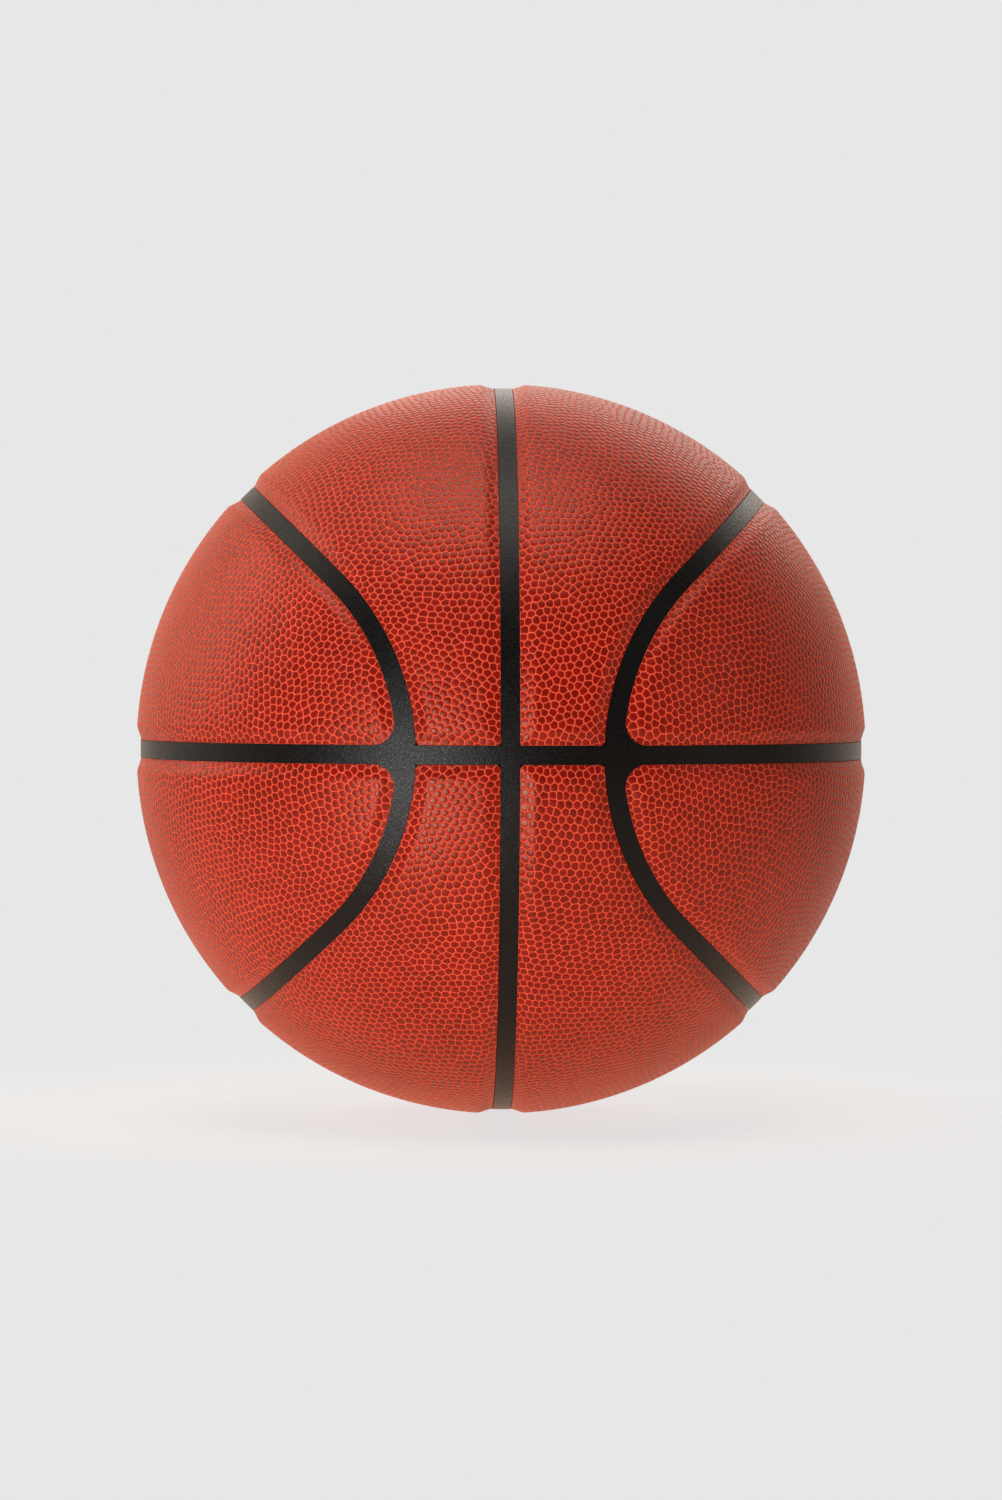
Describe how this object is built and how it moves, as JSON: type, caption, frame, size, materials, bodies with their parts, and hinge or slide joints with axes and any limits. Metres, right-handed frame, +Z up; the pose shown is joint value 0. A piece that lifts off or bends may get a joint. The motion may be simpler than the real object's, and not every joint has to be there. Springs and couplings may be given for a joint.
{
  "type": "basketball",
  "caption": "Full-size basketball with a pebbled composite cover of glued panels between black rubber channels, a wound carcass, a bladder and a needle valve.",
  "frame": {"origin": "centre of the ball", "axes": "+Z up, through the upright channel; +X to the right, through the middle of the right loop; -Y to the front, through the crossing of the equator and the upright channel"},
  "size_m": [0.2414, 0.2408, 0.2414],
  "materials": {
    "cover_leather": "pebbled composite leather, satin, brown-orange tops over brighter orange valleys",
    "channel_rubber": "matt black rubber with a fine grain",
    "pad_foam": "fine closed-cell foam",
    "winding_thread": "nylon thread set in latex",
    "bladder_rubber": "smooth butyl rubber",
    "valve_rubber": "smooth soft rubber"
  },
  "bodies": {
    "root": {"bladder": "bladder_rubber", "valve_patch": "bladder_rubber", "valve_boot": "valve_rubber", "valve_core": "valve_rubber", "winding": "winding_thread", "carcass": "channel_rubber", "foam_side_right_upper": "pad_foam", "foam_side_right_lower": "pad_foam", "foam_side_left_upper": "pad_foam", "foam_side_left_lower": "pad_foam", "foam_middle_right_upper": "pad_foam", "foam_middle_right_lower": "pad_foam", "foam_middle_left_upper": "pad_foam", "foam_middle_left_lower": "pad_foam", "panel_side_right_upper": "cover_leather", "panel_side_right_lower": "cover_leather", "panel_side_left_upper": "cover_leather", "panel_side_left_lower": "cover_leather", "panel_middle_right_upper": "cover_leather", "panel_middle_right_lower": "cover_leather", "panel_middle_left_upper": "cover_leather", "panel_middle_left_lower": "cover_leather"}
  },
  "joints": []
}
